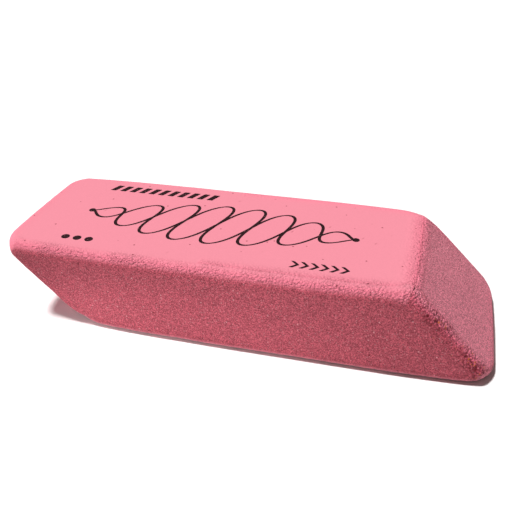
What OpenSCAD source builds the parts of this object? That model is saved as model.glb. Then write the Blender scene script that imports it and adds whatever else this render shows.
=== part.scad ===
// Block eraser: a bar of soft rubber with slanted ends and rounded edges,
// and a dark ornament printed on its upper face.
//
// The block lies on its base. X runs along its length, Y across it and Z up.
// The origin is on the base plane, under the middle of the whole block.
// The upper face is set back towards -X, so the +X end slopes down and outwards.

/* [Block] */
// Length of the base and of the upper face, between the slanted ends
face_len = 49.2; // [36:0.2:90]
// Width across the long sides
block_w = 20.6; // [17:0.2:40]
// Thickness between the base and the upper face
block_h = 10.4; // [8:0.2:18]
// Angle between a slanted end and the base
end_angle = 45; // [42:1:75]

/* [Rounding] */
// Radius along the two long edges of the upper face
long_edge_r = 1.4; // [0.8:0.1:2.5]
// Radius along the two long edges of the base
base_edge_r = 1.1; // [0.8:0.1:2.5]
// Radius along the four slanted edges, where a long side meets an end
slanted_edge_r = 1.3; // [0.8:0.1:2.5]
// Radius along the sharp end edges, at the top left and the bottom right
sharp_edge_r = 0.9; // [0.5:0.1:1.5]
// Radius of the corners where the sharp end edges stop
sharp_corner_r = 1.4; // [0.8:0.1:2.5]
// Radius along the blunt end edges, at the top right and the bottom left
blunt_edge_r = 2.1; // [1:0.1:3]
// Stretch near a corner over which an edge takes on the corner's radius
corner_blend = 2.8; // [1:0.1:5]
// How far each long side falls back at its ends
side_bow = 0.5; // [0:0.05:1]
// How far each slanted end falls back at its corners
end_bow = 0.15; // [0:0.05:0.5]

/* [Print] */
// Thickness of the film of ink
ink_t = 0.03; // [0.02:0.01:0.1]
// Clear distance from the ends of the flat upper face to the print
end_margin = 5.9; // [2:0.1:8]
// Clear distance from the long sides of the flat upper face to the small marks
row_margin = 0.9; // [0.3:0.1:1.5]
// Clear distance between the small marks and the tallest waves
row_gap = 1.2; // [0.4:0.1:1.6]

/* [Flourish] */
// Number of waves in each of the two strands
wave_count = 4; // [2:0.5:7]
// Sideways lean of the waves, as a share of their height
wave_lean = 0.42; // [0:0.02:0.8]
// Roundness of the waves' tips, as a share of their height
tip_round = 0.1; // [0:0.01:0.14]
// Widest line that the pen draws
pen_wide = 0.34; // [0.16:0.02:0.8]
// Thinnest line that the pen draws
pen_thin = 0.14; // [0.1:0.02:0.4]
// How far the ink spreads past the edge of the pen's line
ink_spread = 0.02; // [0.01:0.01:0.08]
// Diameter of the dot at each end
end_dot_d = 0.8; // [0.4:0.1:1.2]

/* [Small marks] */
// Number of bars in the upper row
bar_count = 11; // [3:1:13]
// Distance between two bars
bar_pitch = 1.35; // [1:0.05:1.6]
// Height of a bar
bar_h = 1.5; // [0.8:0.1:1.8]
// Width of a bar
bar_w = 0.75; // [0.3:0.05:0.9]
// Number of dots at the lower left
dot_count = 3; // [1:1:5]
// Diameter of a dot
dot_d = 1; // [0.4:0.1:1.3]
// Distance between two dots
dot_pitch = 1.5; // [1.4:0.05:2]
// Number of chevrons at the lower right
chevron_count = 6; // [2:1:9]
// Distance between two chevrons
chevron_pitch = 1.1; // [0.9:0.05:1.5]
// Height of a chevron
chevron_h = 1.3; // [0.6:0.1:1.6]
// Width of a chevron's line, measured along the row
chevron_line = 0.4; // [0.2:0.05:0.6]

/* [Hidden] */

ball_facets = 32;
dot_facets = 48;

// Horizontal run of a slanted end from the base to the upper face
end_run = block_h / tan(end_angle);
// Stations in a corner's blend, down half a slanted edge and along a side's bow, as shares of each
blend_stations = [0, 0.3, 0.6, 1];
slant_stations = [0.35, 0.7];
bow_stations = [0.3, 0.6];

// The flat part of the upper face, inside its rounded edges
flat_left = -end_run / 2 - face_len / 2 + sharp_edge_r / tan(end_angle / 2) + end_bow;
flat_right = -end_run / 2 + face_len / 2 - blunt_edge_r * tan(end_angle / 2) - end_bow;
flat_side = block_w / 2 - long_edge_r - side_bow;

// The print, whose rows and ends keep their margins from the flat part's edges
print_left = flat_left + end_margin;
print_right = flat_right - end_margin;
print_x = (print_left + print_right) / 2;
bar_row_y = flat_side - row_margin - bar_h / 2;
dot_row_y = -flat_side + row_margin + dot_d / 2;
chevron_row_y = -flat_side + row_margin + chevron_h / 2;
flourish_len = print_right - print_left;
flourish_h = 2 * (flat_side - row_margin - max(bar_h, dot_d, chevron_h) - row_gap);

// Stretches in one wave of the drawn line, steps in each, and the share of one by which it runs on
stretches_per_wave = 2;
steps_per_stretch = 18;
stretch_overlap = 0.03;
// The nib is held at this slope, so down strokes come out wider than up strokes
nib_angle = 25;
// How sharply the waves shrink towards both ends
shrink_power = 0.8;

// A ball with a vertex at each pole and on the equator, so it touches flat faces exactly
module ball(r) {
    rotate_extrude($fn = ball_facets)
        intersection() {
            circle(r = r, $fn = ball_facets);
            translate([0, -r]) square([r, 2 * r]);
        }
}

// Where the middle of the slanted block lies at height z
function slant_x(z) = end_run * (0.5 - z / block_h);

// A ball of radius r at height z that can touch an end and a long side.
// along and across say where it is, from -1 to 1 of half the length and half the width.
module set_ball(r, along, across, z) {
    half_l = face_len / 2 - r / sin(end_angle) - end_bow * pow(across, 2);
    half_w = block_w / 2 - r - side_bow * pow(along, 4);
    translate([slant_x(z) + along * half_l, across * half_w, z])
        ball(r);
}

// Height of a ball of radius r, a distance d from touching the upper (up = 1) or the lower (up = -1) face
function ball_z(r, up, d = 0) = block_h / 2 + up * (block_h / 2 - r - d);

// Radius at a share s of the blend, which runs from a corner to the plain edge
function blend_r(corner_r, edge_r, s) = edge_r + (corner_r - edge_r) * pow(1 - s, 2);

// The balls of one corner and of the halves of the three edges that meet there
module corner_balls(end, side, up) {
    sharp = end * up < 0;
    corner_r = sharp ? sharp_corner_r : blunt_edge_r;
    end_edge_r = sharp ? sharp_edge_r : blunt_edge_r;
    side_edge_r = up > 0 ? long_edge_r : base_edge_r;
    for (s = blend_stations) {
        end_r = blend_r(corner_r, end_edge_r, s);
        long_r = blend_r(corner_r, side_edge_r, s);
        set_ball(end_r, end, side * (1 - s * corner_blend / (block_w / 2)), ball_z(end_r, up));
        set_ball(long_r, end * (1 - s * corner_blend / (face_len / 2)), side, ball_z(long_r, up));
    }
    for (s = slant_stations) {
        slant_r = blend_r(corner_r, slanted_edge_r, s);
        set_ball(slant_r, end, side, ball_z(slant_r, up, s * (block_h / 2 - slant_r)));
    }
    for (s = bow_stations)
        set_ball(side_edge_r, end * s, side, ball_z(side_edge_r, up));
    set_ball(end_edge_r, end, 0, ball_z(end_edge_r, up));
}

// The block of rubber: the hull of balls set along its edges
module rubber_block() {
    color("#f08ea0")
        hull()
            for (up = [-1, 1], end = [-1, 1], side = [-1, 1])
                corner_balls(end, side, up);
}

// Everything printed is a film of ink that lies on the upper face
module ink() {
    color("#3a1c24")
        translate([0, 0, block_h])
            linear_extrude(height = ink_t)
                children();
}

// A strand of the braid at u, from -1 at its left end to 1 at its right end.
// It is a sine wave that leans, shrinks to nothing at both ends and has its tips widened.
function pen_path(u, strand) =
    let (half_h = flourish_h / 2 * pow(max(0, cos(90 * u)), shrink_power),
         turn = 180 * wave_count * u,
         y = strand * half_h * sin(turn))
    [(flourish_len - end_dot_d) / 2 * u + wave_lean * y - tip_round * half_h * sin(2 * turn), y];

// Direction of travel, in degrees
function pen_heading(u, strand) =
    let (d = pen_path(u + 0.0005, strand) - pen_path(u - 0.0005, strand))
    atan2(d[1], d[0]);

// The point beside the strand, on its left (hand = 1) or its right (hand = -1)
function beside_path(u, strand, hand) =
    let (a = pen_heading(u, strand), w = pen_thin + (pen_wide - pen_thin) * abs(sin(a - nib_angle)))
    pen_path(u, strand) + hand * w / 2 * [-sin(a), cos(a)];

// The outline of one short stretch of the line. Many of them make the whole line.
function stretch_outline(from, to, strand) =
    let (step = (to - from) / steps_per_stretch)
    concat([for (i = [0:steps_per_stretch]) beside_path(from + i * step, strand, 1)],
           [for (i = [steps_per_stretch:-1:0]) beside_path(from + i * step, strand, -1)]);

// A braid of two pen strokes, tallest in the middle, with a dot at each end
module printed_flourish() {
    stretches = 2 * wave_count * stretches_per_wave;
    share = 2 / stretches;
    ink()
        translate([print_x, 0])
            offset(r = ink_spread) {
                for (strand = [-1, 1], k = [0 : stretches - 1])
                    polygon(stretch_outline(max(-1, -1 + (k - stretch_overlap) * share),
                                            min(1, -1 + (k + 1 + stretch_overlap) * share), strand));
                for (end = [-1, 1])
                    translate([end * (flourish_len - end_dot_d) / 2, 0])
                        circle(d = end_dot_d, $fn = dot_facets);
            }
}

// A row of slanted bars above the flourish
module printed_bar_row() {
    lean = wave_lean * bar_h;
    ink()
        for (i = [0 : bar_count - 1])
            translate([print_left + i * bar_pitch, bar_row_y - bar_h / 2])
                polygon([[0, 0], [bar_w, 0], [bar_w + lean, bar_h], [lean, bar_h]]);
}

// A short row of round dots at the lower left
module printed_dots() {
    ink()
        for (i = [0 : dot_count - 1])
            translate([print_left + dot_d / 2 + i * dot_pitch, dot_row_y])
                circle(d = dot_d, $fn = dot_facets);
}

// A short row of chevrons at the lower right
module printed_chevrons() {
    reach = chevron_h / 2;
    ink()
        for (i = [0 : chevron_count - 1])
            translate([print_right - i * chevron_pitch, chevron_row_y])
                polygon([[-reach - chevron_line, reach], [-reach, reach], [0, 0], [-reach, -reach],
                         [-reach - chevron_line, -reach], [-chevron_line, 0]]);
}

rubber_block();
printed_flourish();
printed_bar_row();
printed_dots();
printed_chevrons();
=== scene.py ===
# A pink rubber eraser with slanted ends, lying on a white table top.
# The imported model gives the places; this file gives the looks.
import math
import bpy
import numpy as np
from mathutils import Matrix, Vector


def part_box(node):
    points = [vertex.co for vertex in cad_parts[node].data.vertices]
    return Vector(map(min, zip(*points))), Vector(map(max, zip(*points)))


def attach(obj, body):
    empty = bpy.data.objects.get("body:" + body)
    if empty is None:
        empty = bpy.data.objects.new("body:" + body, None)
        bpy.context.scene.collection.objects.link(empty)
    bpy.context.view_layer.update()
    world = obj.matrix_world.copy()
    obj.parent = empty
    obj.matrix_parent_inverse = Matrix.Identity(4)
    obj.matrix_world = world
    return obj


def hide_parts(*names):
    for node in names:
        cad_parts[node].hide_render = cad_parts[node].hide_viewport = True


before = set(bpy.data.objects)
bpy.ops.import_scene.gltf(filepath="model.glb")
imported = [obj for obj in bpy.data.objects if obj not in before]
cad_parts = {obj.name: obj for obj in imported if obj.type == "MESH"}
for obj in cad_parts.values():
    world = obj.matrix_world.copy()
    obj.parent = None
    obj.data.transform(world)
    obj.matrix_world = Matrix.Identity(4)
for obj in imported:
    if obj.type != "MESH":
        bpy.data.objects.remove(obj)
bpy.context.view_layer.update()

mm = 0.001


def hashOf(ix, iy, iz, seed):
    # mixes three whole numbers and a seed into one even value from 0 to 1: each number times a large
    # odd factor of its own, then rounds of shift, xor and multiply, kept to 32 bits
    lowBits = 0xFFFFFFFF
    h = ix.astype(np.int64) * 73856093
    h ^= iy.astype(np.int64) * 19349663
    h ^= iz.astype(np.int64) * 83492791
    h = (h ^ (seed * 2654435761)) & lowBits
    h = ((h ^ (h >> 15)) * 2246822519) & lowBits
    h = ((h ^ (h >> 13)) * 3266489917) & lowBits
    return ((h ^ (h >> 16)) & 0xFFFFFF) / float(0xFFFFFF)


def softNoise(points, size, seed):
    # a value from -1 to 1: random values on a cubic lattice of that size, eased between its points
    p = points / size
    base = np.floor(p).astype(np.int64)
    f = p - base
    f = f * f * f * (f * (f * 6 - 15) + 10)
    total = np.zeros(len(points))
    for corner in np.ndindex(2, 2, 2):
        weight = np.abs(1 - np.array(corner) - f).prod(axis=1)
        total += weight * hashOf(*(base + corner).T, seed)
    return total * 2 - 1


def grains(points, size, seed):
    # one random point in each cube of that size: the distance to the nearest, in cube sizes, and
    # that point's own value from 0 to 1
    p = points / size
    base = np.floor(p).astype(np.int64)
    best = np.full(len(points), np.inf)
    own = np.zeros(len(points))
    for offset in np.ndindex(3, 3, 3):
        cube = base + offset - 1
        at = np.stack([cube[:, k] + hashOf(*cube.T, seed + k) for k in range(3)], axis=1)
        d = np.sqrt(((p - at) ** 2).sum(axis=1))
        nearer = d < best
        best = np.where(nearer, d, best)
        own = np.where(nearer, hashOf(*cube.T, seed + 7), own)
    return best, own


def easeOver(x, low, high):
    # 0 below low, 1 above high, and an S curve between them
    t = np.clip((x - low) / (high - low), 0, 1)
    return t * t * (3 - 2 * t)


def dome(distance, radius=1.0):
    # 1 at the middle, falling with the square of the distance to 0 at the radius
    return np.clip(1 - (distance / radius) ** 2, 0, 1)


block = {
    "endAngle": 45,                   # degrees between a slanted end and the base
    "longEdge": 1.4,                  # radius along the two upper long edges, mm
    "baseEdge": 1.1,                  # radius along the two long edges of the base
    "slantedEdge": 1.3,               # radius along the slanted edges
    "sharpEdge": 0.9,                 # radius along the sharp end edges
    "bluntEdge": 2.1,                 # radius along the blunt end edges and at their corners
    "sharpCorner": 1.4,               # radius at the corners of the sharp end edges
    "cornerBlend": 2.8,               # stretch over which an edge takes on its corner's radius
    "sideBow": 0.5,                   # how far a long side falls back at its ends
    "endBow": 0.15,                   # how far a slanted end falls back at its corners
    "leanShare": (0.55, 1.0, 0.55),   # how much of its lean an edge along, across or up takes at a corner
    "flatCells": (276, 68, 42),       # mesh cells along, across and up
    "bandCells": 9,                   # mesh cells in each half of a rounded edge
    "crowding": 0.38,                 # how much the flat cells crowd towards the edges
}

worn = {
    "reach": 1.15,                # how far from the middle of an edge the pebbles run, mm
    "slantShare": 0.35,           # how much more wear the slanted edges have
    "most": 1.4,                  # the strongest wear anywhere, where 1 is a plain edge's
    "leftShare": 0.35,            # how much of the wear the left end has
    "leftFrom": (0.80, 1.0),      # where that sets in, as shares of half the length
    "backShare": 0.35,            # how much of the wear the back has
    "backFrom": (0.75, 0.97),     # where that sets in, as shares of half the width
    "usual": 0.8,                 # the usual strength of the wear
    "uneven": 0.4,                # and how far it varies from place to place
    "unevenSize": 2.2,
    "pebble": 0.42,               # size of the larger pebbles
    "smallPebble": 0.252,         # size of the smaller ones, which are half as high
    "pebbleHigh": 0.06,           # height of a pebble at an edge
    "pit": 0.55,                  # spacing of the pits at an edge
    "pitSize": (0.16, 0.22),      # least radius of a pit and what its own value adds, as shares of that
    "pitShare": 0.38,             # share of the places that have a pit
    "pitCrumbled": 0.45,          # and what is added where the edge has crumbled
    "pitDeep": 0.16,              # depth of a pit at a crumbled edge
    "patch": 2.6,                 # size of the patches where the edge has crumbled
    "patchEdge": (-0.15, 0.45),   # where in the noise such a patch starts and is full
    "pore": 1.4,                  # spacing of the pores on the faces
    "poreSize": (0.05, 0.05),     # least radius of a pore and what its own value adds
    "poreShare": 0.6,             # share of the places that have a pore
    "poreDeep": 0.05,             # depth of a pore
    "lump": 3.4,                  # size of the slow unevenness
    "smallLump": 1.36,            # size of the quicker unevenness on it, which is half as high
    "lumpHigh": 0.022,            # height of the slow unevenness
}


def bandedAxis(flat, band):
    # along one axis: core is where the flat part has got to, from -1 to 1, and
    # turn is how far the surface has turned to face this axis, from -1 to 1
    t = np.tan(math.pi / 4 * np.linspace(1, 0, band + 1)[:-1])
    u = np.linspace(-1, 1, flat + 1)
    spread = (1 - block["crowding"]) * u + block["crowding"] * np.sin(u * math.pi / 2)
    core = np.concatenate([-np.ones(band), spread, np.ones(band)])
    turn = np.concatenate([-t, np.zeros(flat + 1), t[::-1]])
    return core, turn


def boxLattice(counts):
    # the six sides of a box lattice, welded: three whole numbers for each vertex, and the quads
    ny, nz = counts[1:]
    sides, winding = [], []
    for axis in range(3):
        for end in (0, 1):
            a, b = [k for k in range(3) if k != axis]
            ga, gb = np.meshgrid(np.arange(counts[a] + 1), np.arange(counts[b] + 1), indexing="ij")
            ijk = [None] * 3
            ijk[axis] = np.full_like(ga, counts[axis] * end)
            ijk[a], ijk[b] = ga, gb
            sides.append((ijk[0] * (ny + 1) + ijk[1]) * (nz + 1) + ijk[2])
            winding.append((end == 1) ^ (axis == 1))
    codes, inverse = np.unique(np.concatenate([s.ravel() for s in sides]), return_inverse=True)
    quads, start = [], 0
    for side, outward in zip(sides, winding):
        g = inverse[start:start + side.size].reshape(side.shape)
        start += side.size
        q = np.stack([g[:-1, :-1], g[1:, :-1], g[1:, 1:], g[:-1, 1:]], axis=-1).reshape(-1, 4)
        quads.append(q if outward else q[:, ::-1])
    rows = codes // (nz + 1)
    index = np.stack([rows // (ny + 1), rows % (ny + 1), codes % (nz + 1)], axis=1)
    return index, np.concatenate(quads)


def meshPiece(name, points, quads, fields):
    # puts whole arrays into a new mesh, with one float attribute for each field
    mesh = bpy.data.meshes.new(name)
    mesh.vertices.add(len(points))
    mesh.vertices.foreach_set("co", (points * mm).astype(np.float32).ravel())
    mesh.loops.add(quads.size)
    mesh.loops.foreach_set("vertex_index", quads.astype(np.int32).ravel())
    mesh.polygons.add(len(quads))
    mesh.polygons.foreach_set("loop_start", np.arange(0, quads.size, 4, dtype=np.int32))
    mesh.update(calc_edges=True)
    mesh.validate()
    mesh.polygons.foreach_set("use_smooth", np.ones(len(mesh.polygons), dtype=bool))
    for field, values in fields.items():
        layer = mesh.attributes.new(field, "FLOAT", "POINT")
        layer.data.foreach_set("value", values.astype(np.float32))
    piece = bpy.data.objects.new(name, mesh)
    bpy.context.scene.collection.objects.link(piece)
    return piece


def ballsAt(core, half, angle):
    # the ball at each place in the block. Its radius is that of the nearest edges, and an edge's
    # radius eases into its corner's. It is set so that it touches the faces it is nearest to.
    inward = (1 - np.abs(core)) * half
    isSharp = core[:, 0] * core[:, 2] < 0
    corner = np.where(isSharp, block["sharpCorner"], block["bluntEdge"])
    edges = (np.where(core[:, 2] > 0, block["longEdge"], block["baseEdge"]),
             np.where(isSharp, block["sharpEdge"], block["bluntEdge"]),
             block["slantedEdge"])
    cornerShare = (1 - np.clip(inward / block["cornerBlend"], 0, 1)) ** 2
    radii = np.stack([edges[k] + (corner - edges[k]) * cornerShare[:, k] for k in range(3)], axis=1)

    # an edge's share falls with the square of the distance from it, and stays finite on it
    apart = (inward ** 2).sum(axis=1, keepdims=True) - inward ** 2
    share = 1 / (apart + 1e-6)
    r = (radii * share).sum(axis=1) / share.sum(axis=1)
    z = half[2] * (1 + core[:, 2]) - core[:, 2] * r
    y = core[:, 1] * (half[1] - r - block["sideBow"] * core[:, 0] ** 4)
    along = half[0] - r / math.sin(angle) - block["endBow"] * core[:, 1] ** 2
    x = (half[2] - z) / math.tan(angle) + core[:, 0] * along
    return np.stack([x, y, z], axis=1), r


def surfaceNormals(core, turn, half, angle, centre, r):
    # between two faces the surface faces the sum of their normals. Where the balls grow or move along
    # the block it leans the way they move, until no ball a little further in reaches further out.
    innerPart = 0.998    # how far in the other ball is, as a share of the way from the middle
    middle = 0.05        # the part round the middle that is left without a lean
    rounds = 8           # each round brings the lean closer to its final value
    facing = np.array(((math.sin(angle), 0, math.cos(angle)), (0, 1, 0), (0, 0, 1)))
    normal = turn @ facing
    for k in range(3):
        inner = core.copy()
        inner[:, k] *= innerPart
        innerCentre, innerR = ballsAt(inner, half, angle)
        step = centre - innerCentre
        length = np.maximum(np.linalg.norm(step, axis=1), 1e-9)
        growth = (r - innerR) / length
        way = step / length[:, None]
        plain = turn @ facing - turn[:, k, None] * facing[k]
        lean = np.zeros(len(core))
        for _ in range(rounds):
            size = np.linalg.norm(plain + lean[:, None] * way, axis=1)
            lean = -((plain * way).sum(axis=1) + size * growth)
        lean *= block["leanShare"][k] * (1 - np.abs(turn[:, k])) * (np.abs(core[:, k]) > middle)
        normal += lean[:, None] * way
    return normal / np.linalg.norm(normal, axis=1, keepdims=True)


def wearOver(smooth, normal, core, turn, half, angle, r):
    # how far each point rises from the smooth block, in mm, and the masks that the rubber reads.
    # First how much it belongs to each face, and how far over the surface the middle of the nearest
    # edge is. An edge bends by the end angle where it is blunt, by the rest of a half turn where it
    # is sharp, and by a quarter turn where a long side is part of it.
    belongs = turn ** 2 / (turn ** 2).sum(axis=1, keepdims=True)
    turned = 1 - 2 * np.sort(belongs, axis=1)[:, 1]
    bend = np.where(core[:, 0] * core[:, 2] < 0, math.pi - angle, angle)
    facesSide = belongs[:, 1] > 0.02
    bend = np.where(facesSide, math.pi / 2, bend)
    away = np.sort((1 - np.abs(core)) * half, axis=1)[:, 1] + turned * bend / 2 * r
    nearEdge = np.exp(-(away / worn["reach"]) ** 1.5)
    level = (0.75, 0.99)       # how far up or down a normal points where the flats set in
    slantFrom = (0.93, 1.0)    # how far out along and across a slanted edge sets in
    onTop = easeOver(normal[:, 2], *level)
    onBase = easeOver(-normal[:, 2], *level)
    onSlant = easeOver(np.abs(core[:, 0] * core[:, 1]), *slantFrom) * (1 - onBase)

    # how worn and how crumbled it is, less so at the left end and at the back
    wornHere = 1 - (1 - worn["leftShare"]) * easeOver(-core[:, 0], *worn["leftFrom"])
    wornHere *= 1 - (1 - worn["backShare"]) * easeOver(core[:, 1], *worn["backFrom"])
    patchy = worn["usual"] + worn["uneven"] * softNoise(smooth, worn["unevenSize"], 11)
    rough = np.clip((nearEdge + worn["slantShare"] * onSlant) * patchy, 0, worn["most"]) * wornHere
    crumbled = easeOver(softNoise(smooth, worn["patch"], 15), *worn["patchEdge"]) * onSlant * wornHere

    # pebbles stand up and pits go down at the edges, pores dot the faces, and slow lumps run over all
    # but the flats; each pattern has a seed of its own
    near, own = grains(smooth, worn["pebble"], 21)
    pebble = (dome(near) - 0.5) * (0.5 + own)
    near, _ = grains(smooth, worn["smallPebble"], 31)
    pebble += 0.5 * (dome(near) - 0.5)
    near, own = grains(smooth, worn["pit"], 41)
    hasPit = own > 1 - worn["pitShare"] - worn["pitCrumbled"] * crumbled
    pit = dome(near, worn["pitSize"][0] + worn["pitSize"][1] * own) * hasPit
    near, own = grains(smooth, worn["pore"], 51)
    pore = dome(near, worn["poreSize"][0] + worn["poreSize"][1] * own) * (own > 1 - worn["poreShare"])
    lump = softNoise(smooth, worn["lump"], 61) + 0.5 * softNoise(smooth, worn["smallLump"], 71)
    offFlat = (1 - onTop * (1 - nearEdge)) * (1 - onBase * (1 - nearEdge))
    rise = (rough * worn["pebbleHigh"] * pebble * offFlat
            - rough ** 2 * worn["pitDeep"] * pit * (0.4 + 0.6 * crumbled)
            - worn["poreDeep"] * pore * (1 - nearEdge)
            + worn["lumpHigh"] * lump * offFlat * (0.5 + 0.5 * nearEdge))
    masks = {"edgeWear": np.clip(rough, 0, 1),
             # where pits and pores get painted shade in the rubber's colour
             "hollowShade": np.clip(rough * pit * (0.2 + 0.8 * crumbled) + 0.7 * pore * (1 - nearEdge), 0, 1),
             "skin": easeOver(belongs[:, 2], 0.0, 0.45),
             "endFace": easeOver(belongs[:, 0], 0.1, 0.9),
             # upper worn edges: a worn tint, and painted light where the rounding turns from the lamp
             "baredWithPaintedLight": nearEdge ** 1.5 * easeOver(normal[:, 2], -0.2, 0.3),
             "crumbled": crumbled}
    return rise, masks


def makeBlock():
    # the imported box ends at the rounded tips; the block's own faces would meet a little further out
    low, high = (np.array(c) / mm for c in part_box("rubber_block"))
    boxLength, width, height = high - low
    angle = math.radians(block["endAngle"])
    run = height / math.tan(angle)
    tipCut = block["sharpEdge"] * (1 / math.tan(angle / 2) - 1)
    half = np.array((boxLength - run + 2 * tipCut, width, height)) / 2

    band = block["bandCells"]
    axes = [bandedAxis(n, band) for n in block["flatCells"]]
    index, quads = boxLattice([len(a[0]) - 1 for a in axes])
    core = np.stack([axes[k][0][index[:, k]] for k in range(3)], axis=1)
    turn = np.stack([axes[k][1][index[:, k]] for k in range(3)], axis=1)

    # each point is on its ball, the way the surface faces there, and then worn
    centre, r = ballsAt(core, half, angle)
    normal = surfaceNormals(core, turn, half, angle, centre, r)
    smooth = centre + r[:, None] * normal
    rise, masks = wearOver(smooth, normal, core, turn, half, angle, r)
    points = smooth + rise[:, None] * normal
    points[:, 2] = np.clip(points[:, 2], 0, height)

    piece = meshPiece("pinkBlock", points, quads, masks)
    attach(piece, "root")
    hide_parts("rubber_block")
    print("block:", len(points), "points,", 2 * len(quads), "triangles")
    return piece


def newGroup(name, inputs, outputs):
    # a node group with named inputs, each with its usual value, and named outputs, all floats
    group = bpy.data.node_groups.new(name, "ShaderNodeTree")
    for label, value in inputs.items():
        socket = group.interface.new_socket(label, in_out="INPUT", socket_type="NodeSocketFloat")
        socket.default_value = value
    for label in outputs:
        group.interface.new_socket(label, in_out="OUTPUT", socket_type="NodeSocketFloat")
    return group, group.nodes.new("NodeGroupInput"), group.nodes.new("NodeGroupOutput")


def addNode(tree, kind, settings=(), **values):
    # a node with its properties set, then its inputs by name
    node = tree.nodes.new(kind)
    for key, value in dict(settings).items():
        setattr(node, key, value)
    for key, value in values.items():
        node.inputs[key.replace("_", " ")].default_value = value
    return node


def maths(tree, operation, a, b=None, c=None):
    # a Math node on sockets or numbers
    node = addNode(tree, "ShaderNodeMath", {"operation": operation})
    for socket, value in zip(node.inputs, (a, b, c)):
        if value is None:
            continue
        if isinstance(value, (int, float)):
            socket.default_value = value
        else:
            tree.links.new(value, socket)
    return node.outputs[0]


def product(tree, a, b):
    return maths(tree, "MULTIPLY", a, b)


def zeroToOne(tree, value):
    return maths(tree, "MINIMUM", maths(tree, "MAXIMUM", value, 0.0), 1.0)


grit = {
    "cells": 11500.0,      # grit cells to the metre
    "noise": 5200.0,       # lumps of the finer noise to the metre
    "slow": 220.0,         # and of the slow one
    "cellShare": 0.72,     # how much of the mottle each one makes
    "noiseShare": 0.16,
    "slowShare": 0.12,
}


def gritGroup():
    # fine grit: each tiny cell has a shade of its own, over two sizes of noise
    g, inp, out = newGroup("fineGrit", {"Size": 1.0}, ("Mottle", "Height"))
    coord = addNode(g, "ShaderNodeTexCoord")
    cells = addNode(g, "ShaderNodeTexVoronoi")
    small = addNode(g, "ShaderNodeTexNoise", Detail=2.0, Roughness=0.6)
    slow = addNode(g, "ShaderNodeTexNoise", Scale=grit["slow"], Detail=2.0)
    for node, perMetre in ((cells, grit["cells"]), (small, grit["noise"])):
        g.links.new(maths(g, "DIVIDE", perMetre, inp.outputs["Size"]), node.inputs["Scale"])
    for node in (cells, small, slow):
        g.links.new(coord.outputs["Object"], node.inputs["Vector"])
    split = addNode(g, "ShaderNodeSeparateColor")
    g.links.new(cells.outputs["Color"], split.inputs[0])
    mottle = product(g, split.outputs[0], grit["cellShare"])
    mottle = maths(g, "MULTIPLY_ADD", small.outputs["Fac"], grit["noiseShare"], mottle)
    mottle = maths(g, "MULTIPLY_ADD", slow.outputs["Fac"], grit["slowShare"], mottle)
    g.links.new(mottle, out.inputs["Mottle"])
    height = maths(g, "MULTIPLY_ADD", split.outputs[0], 0.5, product(g, small.outputs["Fac"], 0.5))
    g.links.new(height, out.inputs["Height"])
    return g


relief = {
    "wander": 2200.0,          # lumps to the metre of the noise that bends the pebbles' outlines
    "wanderReach": 0.00022,    # how far it moves them, metres
    "creaseFrom": 0.5,         # how far out in a cell its crease starts, in cell sizes
    "creaseSharp": 3.0,        # how quickly the painted crease shade deepens from there
}


def pebbleGroup():
    # the crumbly relief of a worn edge: rounded cells, and a mask for painted shade in the creases between
    # them
    g, inp, out = newGroup("pebbles", {"Scale": 3000.0}, ("Height", "CreaseShade"))
    coord = addNode(g, "ShaderNodeTexCoord")
    wander = addNode(g, "ShaderNodeTexNoise", Scale=relief["wander"], Detail=1.0)
    shift = addNode(g, "ShaderNodeVectorMath", {"operation": "MULTIPLY_ADD"})
    shift.inputs[1].default_value = (relief["wanderReach"],) * 3
    g.links.new(coord.outputs["Object"], wander.inputs["Vector"])
    g.links.new(wander.outputs["Color"], shift.inputs[0])
    g.links.new(coord.outputs["Object"], shift.inputs[2])
    cells = addNode(g, "ShaderNodeTexVoronoi", {"feature": "F1"})
    g.links.new(shift.outputs[0], cells.inputs["Vector"])
    g.links.new(inp.outputs["Scale"], cells.inputs["Scale"])
    far = maths(g, "MINIMUM", cells.outputs["Distance"], 1.0)
    g.links.new(maths(g, "SUBTRACT", 1.0, product(g, far, far)), out.inputs["Height"])
    crease = product(g, maths(g, "SUBTRACT", far, relief["creaseFrom"]), relief["creaseSharp"])
    g.links.new(zeroToOne(g, crease), out.inputs["CreaseShade"])
    return g


def speckGroup():
    # scattered round specks: cells of a Voronoi pattern, few of them filled, each with a soft rim
    sharpness = 2.5
    g, inp, out = newGroup("specks", {"Scale": 2000.0, "Size": 0.2, "Share": 0.2}, ("Mask",))
    coord = addNode(g, "ShaderNodeTexCoord")
    cells = addNode(g, "ShaderNodeTexVoronoi")
    g.links.new(coord.outputs["Object"], cells.inputs["Vector"])
    g.links.new(inp.outputs["Scale"], cells.inputs["Scale"])
    split = addNode(g, "ShaderNodeSeparateColor")
    g.links.new(cells.outputs["Color"], split.inputs[0])
    chosen = maths(g, "LESS_THAN", split.outputs[0], inp.outputs["Share"])
    outward = maths(g, "DIVIDE", cells.outputs["Distance"], inp.outputs["Size"])
    inside = zeroToOne(g, product(g, maths(g, "SUBTRACT", 1.0, outward), sharpness))
    g.links.new(product(g, inside, chosen), out.inputs["Mask"])
    return g


fineGrit = gritGroup()
pebbles = pebbleGroup()
specks = speckGroup()


def useGroup(tree, group, **values):
    node = addNode(tree, "ShaderNodeGroup", {"node_tree": group})
    for key, value in values.items():
        node.inputs[key].default_value = value
    return node


def specksOf(tree, perMetre, size, share):
    # the mask of specks: their cells to the metre, their radius in cells, and the share of cells filled
    return useGroup(tree, specks, Scale=perMetre, Size=size, Share=share).outputs["Mask"]


def newMaterial(name):
    material = bpy.data.materials.new(name)
    material.use_nodes = True
    tree = material.node_tree
    tree.nodes.clear()
    shader = tree.nodes.new("ShaderNodeBsdfPrincipled")
    output = tree.nodes.new("ShaderNodeOutputMaterial")
    tree.links.new(shader.outputs[0], output.inputs[0])
    return material, tree, shader


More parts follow.
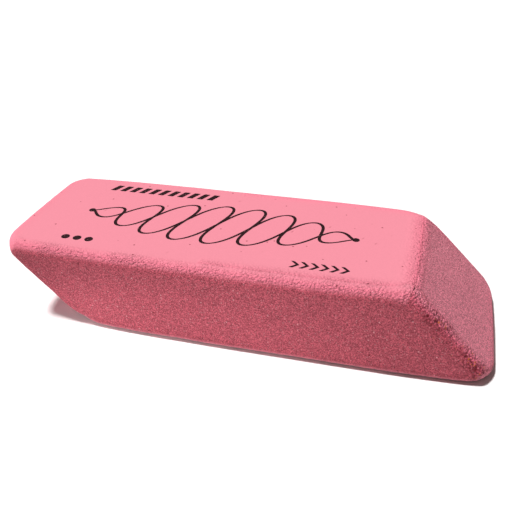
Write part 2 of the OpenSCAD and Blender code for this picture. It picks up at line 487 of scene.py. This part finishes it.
def mixColour(tree, amount, a, b, blend="MIX"):
    # a mixes towards b, or is blended with it, by that amount; each may be a socket or a value
    node = addNode(tree, "ShaderNodeMix", {"data_type": "RGBA", "blend_type": blend})
    for socket, value in ((node.inputs[0], amount), (node.inputs[6], a), (node.inputs[7], b)):
        if isinstance(value, bpy.types.NodeSocket):
            tree.links.new(value, socket)
        elif isinstance(value, tuple):
            socket.default_value = (*value, 1.0)
        else:
            socket.default_value = value
    return node.outputs[2]


def attribute(tree, name):
    settings = {"attribute_name": name, "attribute_type": "GEOMETRY"}
    return addNode(tree, "ShaderNodeAttribute", settings).outputs["Fac"]


def bumpFrom(tree, shader, height, distance):
    # relief from a height, where distance is the height of 1 in metres
    bump = addNode(tree, "ShaderNodeBump", Strength=1.0, Distance=distance)
    tree.links.new(height, bump.inputs["Height"])
    tree.links.new(bump.outputs[0], shader.inputs["Normal"])


rubber = {
    "top": (0.715, 0.233, 0.292),          # the moulded faces, a little chalky
    "side": (0.472, 0.094, 0.127),         # the long sides, deeper in colour
    "end": (0.715, 0.218, 0.284),          # the slanted ends
    "hollowShade": (0.20, 0.020, 0.028),        # painted shade inside pits, pores, holes and creases
    "crumb": (0.62, 0.16, 0.05),           # orange crumbs in the worn edges
    "baredWithPaintedLight": (1.17, 0.89, 0.98),           # tint of an upper edge that lost its skin, as factors: deeper pink from the wear, and a lift in red that is painted light on the rounding as it turns from the lamp
    "speck": (0.90, 0.50, 0.54),           # pale specks of filler
    "roughness": 0.78,
    "roughnessSwing": 0.2,                 # how much the grit varies it
    "specular": 0.1,
    "mottle": 1.4,                         # how strongly the grit shades the colour
    "mottleOnTop": 0.05,                   # how much of that the moulded faces have
    "mottleAtEnd": 1.02,                   # and the slanted ends
    "mottleWorn": 0.6,                     # and the worn edges, at the least
    "gritHigh": 0.00020,                   # metres from the lowest to the highest grit
    "pebblesPerMetre": 4000.0,
    "pebbleHigh": 0.00028,                 # height of the pebbles on a worn edge, metres
    "creaseShadeStrength": 0.10,                    # how strong the painted shade in the creases between them is
    "creaseCrumbled": 0.6,                 # and how much stronger that painted shade is where the edge has crumbled
    "hollowShadeDark": 0.85,                    # how strong the painted shade in the pits is
    "paleSpecks": (2100.0, 0.22, 0.08),    # cells to the metre, radius in cells, share of cells filled
    "paleShow": 0.5,                       # how clearly they show
    "flecks": (4200.0, 0.34, 0.30),        # the same of the small flecks of filler
    "fleckShow": 0.3,
    "pores": (1300.0, 0.17, 0.08),         # of the pores on every face, which sink and get painted shade
    "poreShade": 0.75,
    "poreDeep": 0.00004,
    "holes": (2500.0, 0.52, 0.50),         # of the holes where the edge has crumbled, which sink and get painted shade
    "holeShade": 0.9,
    "holeDeep": 0.00012,
    "crumbs": (2900.0, 0.42, 0.22),        # and of the orange crumbs there
}


def makeRubber():
    material, tree, shader = newMaterial("pinkRubber")
    link = tree.links.new
    wear, hollowShade, skin, endFace, baredWithPaintedLight, crumbled = (
        attribute(tree, n) for n in ("edgeWear", "hollowShade", "skin", "endFace", "baredWithPaintedLight", "crumbled"))
    pale, flecks, pores, holes, crumbs = (
        specksOf(tree, *rubber[n]) for n in ("paleSpecks", "flecks", "pores", "holes", "crumbs"))
    fine = useGroup(tree, fineGrit, Size=1.0)
    pebble = useGroup(tree, pebbles, Scale=rubber["pebblesPerMetre"])
    wornAndCrumbled = product(tree, crumbled, wear)

    # how gritty a point is: faint on the moulded faces, full on the others and on every worn edge
    gritty = maths(tree, "MULTIPLY_ADD", skin, rubber["mottleOnTop"] - 1, 1.0)
    gritty = maths(tree, "MAXIMUM", gritty, product(tree, wear, rubber["mottleWorn"]))

    # colour by face, with a worn tint and painted light on the upper edges, then mottled by the grit
    colour = mixColour(tree, endFace, rubber["side"], rubber["end"])
    colour = mixColour(tree, skin, colour, rubber["top"])
    # the upper edges get a worn tint and painted light
    colour = mixColour(tree, baredWithPaintedLight, colour, rubber["baredWithPaintedLight"], "MULTIPLY")
    swing = product(tree, maths(tree, "SUBTRACT", fine.outputs["Mottle"], 0.5), gritty)
    atEnd = maths(tree, "MULTIPLY_ADD", endFace, rubber["mottleAtEnd"] - 1, 1.0)
    brightness = maths(tree, "MULTIPLY_ADD", product(tree, swing, atEnd), rubber["mottle"], 1.0)
    shade = addNode(tree, "ShaderNodeCombineColor")
    for socket in shade.inputs[:3]:
        link(brightness, socket)
    colour = mixColour(tree, 1.0, colour, shade.outputs[0], "MULTIPLY")

    # pale specks and flecks, painted shade in pits, pores, holes and creases, and orange crumbs
    paleAmount = maths(tree, "MAXIMUM", product(tree, pale, rubber["paleShow"]),
                       product(tree, flecks, rubber["fleckShow"]))
    colour = mixColour(tree, product(tree, paleAmount, gritty), colour, rubber["speck"])
    # painted shade in the creases between the pebbles, stronger where the edge has crumbled
    creaseShadeStrength = maths(tree, "MULTIPLY_ADD", crumbled, rubber["creaseCrumbled"], rubber["creaseShadeStrength"])
    creaseShading = product(tree, product(tree, pebble.outputs["CreaseShade"], wear), creaseShadeStrength)
    hole = product(tree, holes, wornAndCrumbled)
    # painted shade: pits, pores and crumbled holes darkened towards the shade colour
    paintedShade = maths(tree, "MAXIMUM", product(tree, hollowShade, rubber["hollowShadeDark"]),
                 product(tree, pores, rubber["poreShade"]))
    paintedShade = maths(tree, "MAXIMUM", paintedShade, product(tree, hole, rubber["holeShade"]))
    colour = mixColour(tree, maths(tree, "MAXIMUM", paintedShade, creaseShading), colour, rubber["hollowShade"])
    colour = mixColour(tree, product(tree, crumbs, wornAndCrumbled), colour, rubber["crumb"])
    link(colour, shader.inputs["Base Color"])

    smoothest = rubber["roughness"] - rubber["roughnessSwing"] / 2
    roughness = maths(tree, "MULTIPLY_ADD", fine.outputs["Mottle"], rubber["roughnessSwing"], smoothest)
    link(roughness, shader.inputs["Roughness"])
    shader.inputs["Specular IOR Level"].default_value = rubber["specular"]

    # relief in metres: grit by how gritty the point is, pebbles where worn, less the pores and holes
    height = product(tree, fine.outputs["Height"], product(tree, gritty, rubber["gritHigh"]))
    raised = product(tree, product(tree, pebble.outputs["Height"], wear), rubber["pebbleHigh"])
    height = maths(tree, "ADD", height, raised)
    height = maths(tree, "SUBTRACT", height, product(tree, pores, rubber["poreDeep"]))
    height = maths(tree, "SUBTRACT", height, product(tree, hole, rubber["holeDeep"]))
    bumpFrom(tree, shader, height, 1.0)
    return material


ink = {
    "colour": (0.009, 0.003, 0.004),
    "thin": (0.060, 0.012, 0.016),     # where the film is thin and the rubber shows through
    "thinShare": 0.4,                  # how much of the grit thins it
    "gritSize": 1.4,                   # size of that grit, against the rubber's
    "gaps": (3200.0, 0.3, 0.2),        # cells to the metre, radius in cells, share of cells with a gap
    "gapShow": 0.25,                   # how much of the rubber shows in a gap
    "roughness": 0.60,
    "roughnessSwing": 0.25,            # how much the grit adds to it
    "specular": 0.15,
    "gritHigh": 0.00002,               # metres
}


def makeInk():
    # a matte film, uneven over the grit, with tiny gaps
    material, tree, shader = newMaterial("printingInk")
    fine = useGroup(tree, fineGrit, Size=ink["gritSize"])
    gaps = product(tree, specksOf(tree, *ink["gaps"]), ink["gapShow"])
    thin = product(tree, fine.outputs["Mottle"], ink["thinShare"])
    colour = mixColour(tree, thin, ink["colour"], ink["thin"])
    tree.links.new(mixColour(tree, gaps, colour, rubber["top"]), shader.inputs["Base Color"])
    roughness = maths(tree, "MULTIPLY_ADD", fine.outputs["Mottle"], ink["roughnessSwing"], ink["roughness"])
    tree.links.new(roughness, shader.inputs["Roughness"])
    shader.inputs["Specular IOR Level"].default_value = ink["specular"]
    bumpFrom(tree, shader, fine.outputs["Height"], ink["gritHigh"])
    return material


floor = {
    "size": 4.0,                       # metres
    "colour": (0.86, 0.85, 0.845),
    "cloudy": 1.02,                    # how much paler its palest places are
    "clouds": 900.0,                   # and how many of them to the metre
    "roughness": 0.9,
    "specular": 0.1,
}


def makeFloor():
    bpy.ops.mesh.primitive_plane_add(size=floor["size"], location=(0, 0, 0))
    plane = bpy.context.object
    plane.name = "tableTop"
    material, tree, shader = newMaterial("whiteTable")
    cloud = addNode(tree, "ShaderNodeTexNoise", Scale=floor["clouds"], Detail=3.0)
    coord = addNode(tree, "ShaderNodeTexCoord")
    tree.links.new(coord.outputs["Object"], cloud.inputs["Vector"])
    paler = tuple(min(1.0, c * floor["cloudy"]) for c in floor["colour"])
    colour = mixColour(tree, cloud.outputs["Fac"], floor["colour"], paler)
    tree.links.new(colour, shader.inputs["Base Color"])
    shader.inputs["Roughness"].default_value = floor["roughness"]
    shader.inputs["Specular IOR Level"].default_value = floor["specular"]
    plane.data.materials.append(material)


light = {
    "room": 0.11,                        # strength of the even surroundings
    "roomColour": (1.0, 0.96, 0.90),
    "backdrop": 1.0,                     # how bright they look behind the table top
    "backdropColour": (1.0, 1.0, 1.0),
    "sun": 4.15,                         # strength of the high soft lamp
    "sunFrom": (-0.34, -0.075, 1.0),     # the direction it comes from
    "sunSpread": 9,                      # degrees across, which sets how soft the shadows are
    "window": (-0.110, 0.004, 0.016),    # place of the low lamp beyond the left end, metres
    "windowPower": 0.014,                # watts
    "windowSize": (0.03, 0.02),
    "card": (-0.004, -0.0190, 0.003),    # place of the lit card that stands close before the block
    "cardPower": 0.0009,
    "cardSize": (0.040, 0.003),
}


def addLamp(name, kind, place, energy):
    # a lamp at that place, turned to face the block
    lamp = bpy.data.lights.new(name, kind)
    lamp.energy = energy
    thing = bpy.data.objects.new(name, lamp)
    thing.location = place
    thing.rotation_euler = (-Vector(place)).to_track_quat("-Z", "Y").to_euler()
    thing.visible_camera = False
    bpy.context.scene.collection.objects.link(thing)
    return lamp


def makeLight():
    # the surroundings light the block by one background, and the camera sees the other
    world = bpy.data.worlds.new("whiteRoom")
    world.use_nodes = True
    tree = world.node_tree
    lit = tree.nodes["Background"]
    seen = tree.nodes.new("ShaderNodeBackground")
    choose = tree.nodes.new("ShaderNodeMixShader")
    for background, name in ((lit, "room"), (seen, "backdrop")):
        background.inputs[0].default_value = (*light[name + "Colour"], 1.0)
        background.inputs[1].default_value = light[name]
    tree.links.new(tree.nodes.new("ShaderNodeLightPath").outputs["Is Camera Ray"], choose.inputs[0])
    tree.links.new(lit.outputs[0], choose.inputs[1])
    tree.links.new(seen.outputs[0], choose.inputs[2])
    tree.links.new(choose.outputs[0], tree.nodes["World Output"].inputs[0])
    bpy.context.scene.world = world

    highLamp = addLamp("highLamp", "SUN", light["sunFrom"], light["sun"])
    highLamp.angle = math.radians(light["sunSpread"])
    for name in ("window", "card"):
        lamp = addLamp(name + "Lamp", "AREA", light[name], light[name + "Power"])
        lamp.shape = "RECTANGLE"
        lamp.size, lamp.size_y = light[name + "Size"]


view = {
    "azimuth": 16.4,              # degrees round from -Y towards +X
    "elevation": 31.5,            # degrees above the table top
    "roll": -1.43,                # degrees
    "distance": 82.8,             # mm from the middle of the block
    "lens": 47.5,                 # mm, as is the sensor's width
    "sensor": 36.0,
    "shift": (0.0017, 0.0193),
    "nearest": 0.005,             # how near it still sees, metres
}


def makeCamera():
    aim = Vector((0, 0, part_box("rubber_block")[1][2] / 2))
    az, el, roll = (math.radians(view[k]) for k in ("azimuth", "elevation", "roll"))
    back = Vector((math.sin(az) * math.cos(el), -math.cos(az) * math.cos(el), math.sin(el)))
    right = Vector((0, 0, 1)).cross(back).normalized()
    up = back.cross(right)
    tiltedRight = math.cos(roll) * right + math.sin(roll) * up
    tiltedUp = math.cos(roll) * up - math.sin(roll) * right
    data = bpy.data.cameras.new("camera")
    data.lens = view["lens"]
    data.sensor_width = view["sensor"]
    data.shift_x, data.shift_y = view["shift"]
    data.clip_start = view["nearest"]
    camera = bpy.data.objects.new("camera", data)
    turned = Matrix((tiltedRight, tiltedUp, back)).transposed().to_4x4()
    camera.matrix_world = Matrix.Translation(aim + back * view["distance"] * mm) @ turned
    bpy.context.scene.collection.objects.link(camera)
    bpy.context.scene.camera = camera


makeCamera()
makeLight()
makeFloor()
print("stage: camera, light and table top made")

pinkBlock = makeBlock()
pinkBlock.data.materials.append(makeRubber())
print("block: rubber material given")

inkMaterial = makeInk()
for name in ("printed_flourish", "printed_bar_row", "printed_dots", "printed_chevrons"):
    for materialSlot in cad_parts[name].material_slots:
        materialSlot.material = inkMaterial
print("print: ink material given")

bpy.context.scene.view_settings.view_transform = "Standard"
